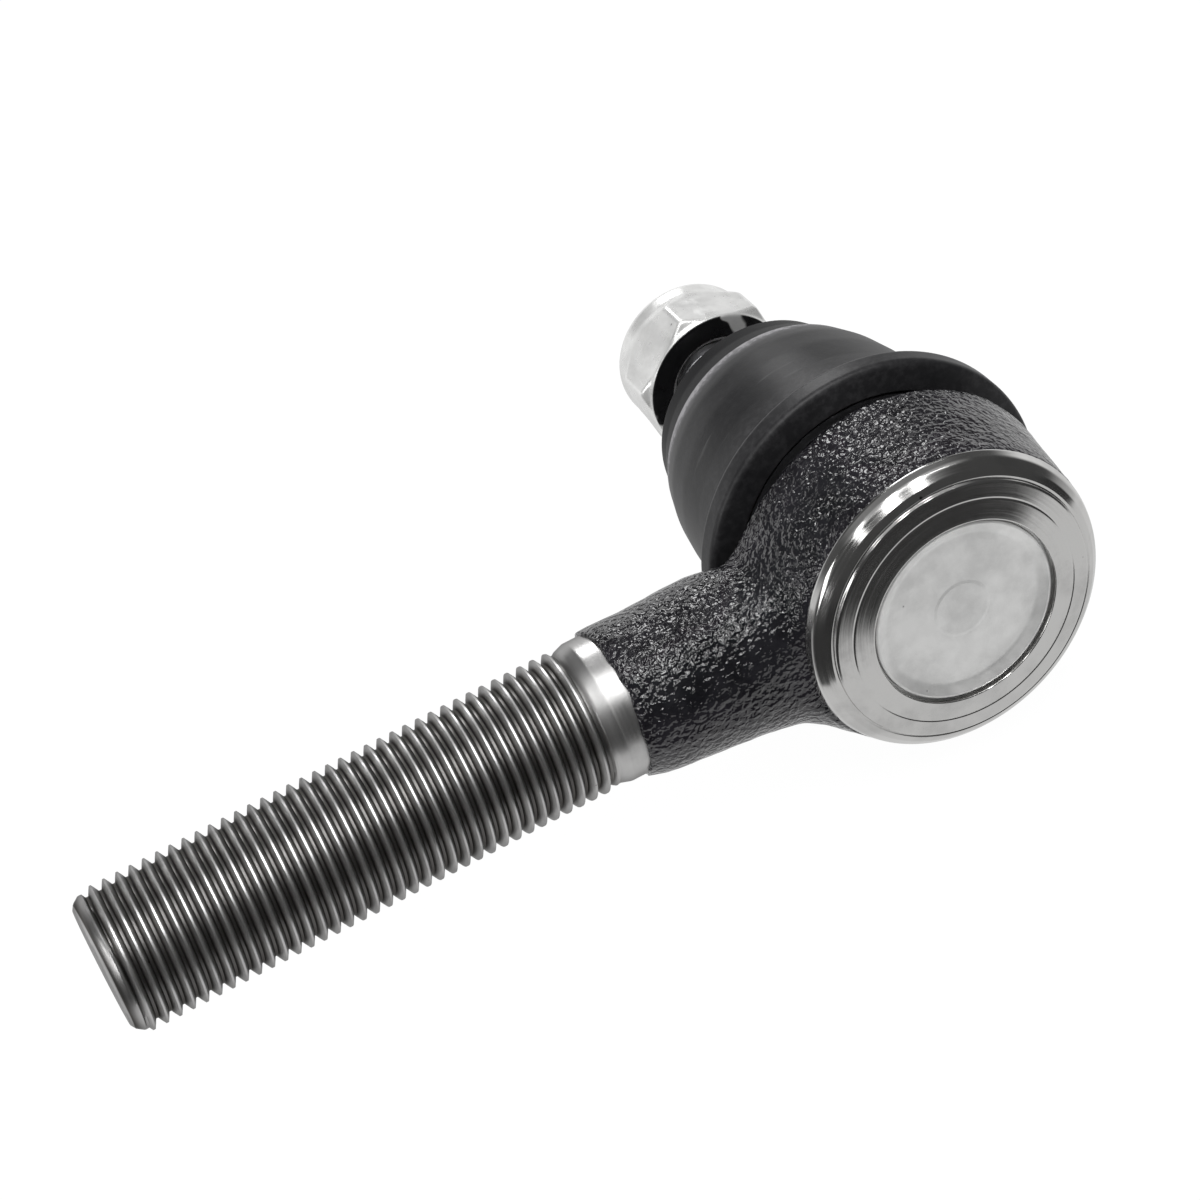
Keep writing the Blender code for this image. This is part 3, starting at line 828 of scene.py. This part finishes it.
def stud_body(steel):
    """Ball with its flat, neck, and the taper that sits in the steering arm."""
    neck = math.degrees(math.acos(STUD_NECK / BALL_RADIUS))
    flat = -math.degrees(math.acos(BALL_FLAT / BALL_RADIUS))
    outline = [(0.0, BALL_RADIUS * math.sin(math.radians(flat)))] + arc(BALL_RADIUS, flat, neck, 40)
    outline += rounded([
        (STUD_NECK, 13.5, 0), (6.1, 16.5, 4.0), (6.9, TAPER_START, 1.0), (5.92, TAPER_END, 0.3),
        (STUD_ROOT, TAPER_END + 1.0, 0),
    ], 4)
    points, faces = turned(outline, 96, closed=False)
    return welded(add_mesh("stud_body", points, faces, steel, "stud", "ball_stud", 40))


def stud_envelope(along, radius):
    """Holds the stud's thread inside its chamfered end, and fades it out at the taper."""
    tip = STUD_THREAD - np.clip(along - (STUD_END - 0.9), 0, 2) * 0.9
    run_in = np.clip((along - TAPER_END - 1.4) / 1.2, 0, 1)
    return np.minimum(STUD_ROOT + (radius - STUD_ROOT) * run_in, tip)


def stud_thread(steel):
    """The stud's threaded end, closed by a flat face."""
    steps = 64
    along, angles, radius = threaded(
        TAPER_END + 0.7, STUD_END, STUD_PITCH, stud_envelope, STUD_THREAD, STUD_THREAD_DEPTH, steps)
    helix = np.stack([radius * np.cos(angles), along, radius * np.sin(angles)], axis=-1)
    points = np.concatenate([helix.reshape(-1, 3), [[0.0, STUD_END, 0.0]]])
    faces = helix_faces(len(along), steps)
    last_row = (len(along) - 1) * (steps + 1)
    faces += [(last_row + c, last_row + c + 1, len(points) - 1) for c in range(steps)]
    return welded(add_mesh("stud_thread", points, faces, steel, "stud", "ball_stud", 24))


def nut_outside(x, y, z, radius):
    """Distance to the nut's outside: a hexagon chamfered at both ends, joined to a domed collar."""
    angles = [math.radians(NUT_CORNER_TURN + 30 + 60 * side) for side in range(3)]
    planes = [np.abs(x * math.cos(a) + z * math.sin(a)) - NUT_FLATS / 2 for a in angles]
    flats = smooth_max(smooth_max(planes[0], planes[1], 0.45), planes[2], 0.45)
    low_chamfer = 0.5 * (radius - NUT_LOW_CHAMFER) - 0.866 * (y - NUT_LOW)
    high_chamfer = 0.82 * (radius - NUT_HIGH_CHAMFER) + 0.57 * (y - NUT_HEX_TOP)
    hexagon = smooth_max(smooth_max(flats, low_chamfer, 0.3), high_chamfer, 0.4)
    hexagon = np.maximum(hexagon, y - NUT_HEX_TOP - 0.5)
    dome = 0.50 * (radius - NUT_DOME) + 0.866 * (y - NUT_TOP)
    collar = smooth_max(radius - NUT_COLLAR, dome, 0.7)
    outside = smooth_min(hexagon, collar, 0.35)
    return smooth_max(smooth_max(outside, NUT_LOW - y, 0.4), y - NUT_TOP, 0.4)


def nut_field(x, y, z):
    """Distance to the lock nut, bored through, with a pocket in its collar for the nylon ring."""
    radius = np.sqrt(x * x + z * z)
    bore = radius - np.where(y > NUT_TOP - 2.2, NUT_POCKET, NUT_BORE)
    bore = np.where(y > NUT_TOP - 0.55, radius - NUT_MOUTH, bore)
    lead_in = np.maximum(0, NUT_LOW + 0.8 - y)
    bore = np.minimum(bore, radius - (NUT_BORE + lead_in))
    return np.maximum(nut_outside(x, y, z, radius), -bore)


def lock_nut(plate):
    """The lock nut, shaded with the field's own directions so that its flats stay clean."""
    out = NUT_FLATS / math.sqrt(3) + 0.6
    low, high = (-out, NUT_LOW - 0.5, -out), (out, NUT_TOP + 0.5, out)
    points, faces, outward = surface_net(nut_field, low, high, NUT_GRID)
    nut = add_mesh("lock_nut_body", points, faces, plate, "stud", "lock_nut", 180)
    nut.data.normals_split_custom_set_from_vertices(outward.tolist())
    return nut


def nylon_ring(nylon):
    """The ring in the nut's collar that grips the thread."""
    top, low, outer = NUT_TOP - 0.75, NUT_TOP - 1.95, 6.8
    outline = rounded([(NUT_BORE, low, 0.1), (outer, low, 0.1), (outer, top, 0.1), (NUT_BORE, top, 0.2)], 3)
    points, faces = turned(outline, 96)
    return add_mesh("nylon_ring", points, faces, nylon, "stud", "nut_insert")


# ---------------------------------------------------------------- boot


def boot_wobble(height, angle):
    """Slight unevenness of a soft moulding, strongest half way up the skirt."""
    share = np.sin(np.clip((height - 6.5) / 19.0, 0, 1) * math.pi)
    return share * (0.10 * np.cos(2 * angle + 0.8) + 0.05 * np.cos(3 * angle + 2.1 + height * 0.08))


def boot_outline():
    """The whole boot, from the top lip's inner edge down the outside and back up the inside."""
    outside = [
        (7.1, BOOT_TOP, 0.3), (12.0, BOOT_TOP - 0.05, 0.5), (12.6, BOOT_TOP - 0.7, 0.4), (13.3, 29.0, 6.0),
        (14.5, BOOT_SHOULDER, 0.7), (15.5, 22.6, 9.0), (16.1, 18.6, 14.0), (16.45, 14.0, 14.0),
        (16.9, 9.6, 8.0), (17.35, 7.4, 0.5), (19.2, 6.75, 0.3), (BEAD_RADIUS, 6.5, 0.7),
        (BEAD_RADIUS, BOOT_LOW, 0.7),
    ]
    inside = [
        (16.5, BOOT_LOW, 0.2), (16.5, 6.6, 0.2), (15.9, 7.0, 0.3), (15.5, 9.2, 4.0), (15.1, 14.0, 10.0),
        (14.8, 18.8, 10.0), (14.3, 22.0, 5.0), (13.3, 25.4, 3.0), (12.3, 28.3, 2.0),
        (10.8, BOOT_TOP - 2.0, 0.4), (7.1, BOOT_TOP - 2.0, 0.3),
    ]
    return rounded(outside + inside, 6)


def split_at(outline, height):
    """Cuts the closed outline at a height. Returns the upper half, the lower half and the cuts."""
    upper, lower, cuts = [], [], []
    for here, after in zip(outline, outline[1:] + outline[:1]):
        here, after = np.array(here), np.array(after)
        own, other = (upper, lower) if here[1] >= height else (lower, upper)
        own.append(tuple(here))
        if (here[1] - height) * (after[1] - height) < 0:
            share = (height - here[1]) / (after[1] - here[1])
            cut = tuple(here + share * (after - here))
            cuts.append(cut)
            own.append(cut)
            other.append(cut)
    return upper, lower, cuts


def open_half(outline, cuts):
    """Starts an outline at its cut, so that the open edge is between its last and first points."""
    first, second = [index for index, point in enumerate(outline) if point in cuts]
    start = second if second - first == 1 else first
    return outline[start:] + outline[:start]


def dust_boot(rubber):
    """The boot in two halves that meet half way up."""
    upper, lower, cuts = split_at(boot_outline(), BOOT_SEAM)
    halves = (
        ("boot_skirt", lower, ("base", "boot"), (BOOT_FOOT, BOOT_SEAM)),
        ("boot_crown", upper, ("boot", "collar"), (BOOT_SEAM, BOOT_UPPER_LIP)),
    )
    for name, outline, bodies, heights in halves:
        half = open_half(outline, cuts)
        fine = refined(half, BOOT_GRID)
        fine = fine[:fine.index(half[-1]) + 1]
        points, faces = turned(fine, TURN_STEPS, boot_wobble, closed=False)
        piece = add_mesh(name, points, faces, rubber, None, "dust_boot", 60)
        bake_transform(piece)


# ---------------------------------------------------------------- stage


def sky_light(w):
    """How bright each direction looks in a reflection.

    The sky is white low at the back, dark in front and brighter overhead. The ground is white at the back
    and straight below, and dark in front, which gives the rolled lip its dark sector.
    """
    aside, back, up = w.axes(w.add("ShaderNodeTexCoord").outputs["Generated"])
    skewed = w.minus(up, w.times(aside, 0.2))

    def mixed(share, a, b):
        return w.plus(w.times(b, share), w.times(a, w.minus(1.0, share)))

    behind = w.remap(up, 0.12, 0.45, 1.05, 0.12)
    front = w.remap(up, 0.66, 0.86, 0.08, 0.60)
    sky = mixed(w.remap(back, -0.10, 0.35, 0.0, 1.0), front, behind)
    near_ground = w.remap(skewed, -0.58, -0.55, 0.84, 0.05)
    ground = mixed(w.remap(back, -0.3, 0.3, 0.0, 1.0), near_ground, 0.90)
    return mixed(w.remap(up, -0.20, -0.05, 1.0, 0.0), sky, ground)


def studio_world():
    """Soft even light, a patterned room for reflections and a plain white background."""
    world = bpy.data.worlds.new("studio")
    bpy.context.scene.world = world
    world.use_nodes = True
    world.cycles.sampling_method = "NONE"
    w = Nodes(world.node_tree)
    w.tree.nodes.clear()

    def background(strength):
        node = w.add("ShaderNodeBackground")
        w.feed(node.inputs["Strength"], strength)
        return node.outputs[0]

    soft, white, reflected = background(0.75), background(1.27), background(sky_light(w))
    path = w.add("ShaderNodeLightPath")
    room = w.layered(path.outputs["Is Glossy Ray"], soft, reflected)
    seen = w.layered(path.outputs["Is Camera Ray"], room, white)
    w.link(seen, w.add("ShaderNodeOutputWorld").inputs["Surface"])


def strip(name, low, high, width, brightness, distance=0.6):
    """A strip light between two directions from the ball, whose reflection is as bright as asked."""
    low, high = Vector(low).normalized(), Vector(high).normalized()
    away = (low + high).normalized()
    light = bpy.data.lights.new(name, "AREA")
    light.shape = "RECTANGLE"
    light.size = width * distance
    light.size_y = (high - low).length * distance
    light.energy = brightness * math.pi * light.size * light.size_y
    lamp = bpy.data.objects.new(name, light)
    bpy.context.scene.collection.objects.link(lamp)
    upward = (high - low).normalized()
    basis = Matrix((upward.cross(away), upward, away)).transposed()
    lamp.matrix_world = Matrix.Translation(BALL + away * distance) @ basis.to_4x4()
    lamp.visible_camera = False


def studio_lights():
    """Two window panes up in front, two at the left, two thin tubes overhead and a soft light behind."""
    strip("pane_left", (-0.09, -0.72, 0.68), (-0.10, -0.10, 0.98), 0.11, 10.0)
    strip("pane_right", (0.20, -0.70, 0.68), (0.19, -0.10, 0.97), 0.09, 8.0)
    strip("far_window", (-0.44, -0.66, 0.60), (-0.50, -0.12, 0.85), 0.10, 5.0)
    strip("side_window", (-0.86, -0.50, 0.10), (-0.88, 0.0, 0.50), 0.22, 4.0)
    strip("front_tube", (-0.15, -0.33, 0.92), (0.55, -0.30, 0.78), 0.03, 7.0)
    strip("back_tube", (-0.15, 0.36, 0.92), (0.55, 0.32, 0.78), 0.03, 4.0)
    strip("back_light", (0.16, 0.84, 0.50), (0.22, 0.64, 0.74), 0.32, 6.0)


def pale_floor():
    """A plain pale floor, a little below the part, that only the camera sees."""
    size = 3.0
    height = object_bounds()[0].z - 0.4 * MM
    mesh = bpy.data.meshes.new("floor")
    corners = [(-size, -size, height), (size, -size, height), (size, size, height), (-size, size, height)]
    mesh.from_pydata(corners, [], [(0, 1, 2, 3)])
    floor = bpy.data.objects.new("floor", mesh)
    bpy.context.scene.collection.objects.link(floor)
    s = Finish("pale_floor")
    s.set(Base_Color=(0.86, 0.86, 0.86), Roughness=0.9, Specular_IOR_Level=0.1)
    glow = s.add("ShaderNodeEmission")
    glow.inputs["Strength"].default_value = 1.03
    glow_share = 0.95
    lit = s.layered(glow_share, s.surface.outputs[0], glow.outputs[0])
    clear = s.add("ShaderNodeBsdfTransparent").outputs[0]
    seen = s.layered(s.add("ShaderNodeLightPath").outputs["Is Camera Ray"], clear, lit)
    s.link(seen, s.tree.nodes["Material Output"].inputs["Surface"])
    mesh.materials.append(s.material)
    floor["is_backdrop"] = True


def place_camera():
    """A long lens at the front left, looking down on the part and rolled to its right."""
    place = BALL + Vector((-104.285, -274.587, 219.015)) * MM
    heading, pitch, roll = (math.radians(angle) for angle in (14.57, -36.19, -18.23))
    level = Vector((math.cos(heading), -math.sin(heading), 0.0))
    forward = Vector((math.sin(heading) * math.cos(pitch), math.cos(heading) * math.cos(pitch),
                      math.sin(pitch)))
    right = level * math.cos(roll) + level.cross(forward) * math.sin(roll)
    basis = Matrix((right, right.cross(forward), -forward)).transposed()
    lens = bpy.data.cameras.new("camera")
    lens.lens = 102.0
    lens.sensor_width = 36.0
    shot = bpy.data.objects.new("camera", lens)
    bpy.context.scene.collection.objects.link(shot)
    shot.matrix_world = Matrix.Translation(place) @ basis.to_4x4()
    bpy.context.scene.camera = shot


def add_pieces():
    """Every new piece, each with its finish."""
    paint = black_paint()
    forged_skin(paint)
    turned_core(machined_steel("lip_steel", (0.68, 0.675, 0.665), ALONG_STUD, (0.08, 0.18)), paint)
    threaded_shank(machined_steel(
        "thread_steel", (0.66, 0.655, 0.65), ALONG_SHANK, (0.28, 0.42), 0.004, edge=0.35, shaded_valleys=(7.0, 7.8)))
    end_cap(zinc("cap_zinc", (0.91, 0.91, 0.90), 0.42, 0.65))
    stud_steel = machined_steel("stud_steel", (0.28, 0.28, 0.29), ALONG_STUD, (0.25, 0.40))
    stud_body(stud_steel)
    stud_thread(stud_steel)
    lock_nut(zinc("nut_zinc", (0.92, 0.92, 0.91), 0.32, 0.6, NUT_SHADED_TOP))
    nylon_ring(moulded("nylon", (0.06, 0.14, 0.45), 0.45))
    dust_boot(boot_rubber())


def finish_cad_nodes():
    """Gives the CAD nodes that are shown as they are their materials."""
    acetal = moulded("acetal", (0.80, 0.78, 0.70), 0.42)
    spring = phosphate()
    finishes = {
        "lower_seat": acetal, "upper_seat": acetal, "disc_spring": spring,
        "boot_base_ring": spring, "boot_top_ring": spring,
    }
    for node, finish in finishes.items():
        slots = frame["nodes"][node].data.materials
        slots.clear()
        slots.append(finish)


add_pieces()
finish_cad_nodes()
studio_world()
studio_lights()
pale_floor()
place_camera()
bpy.context.scene.view_settings.view_transform = "Standard"
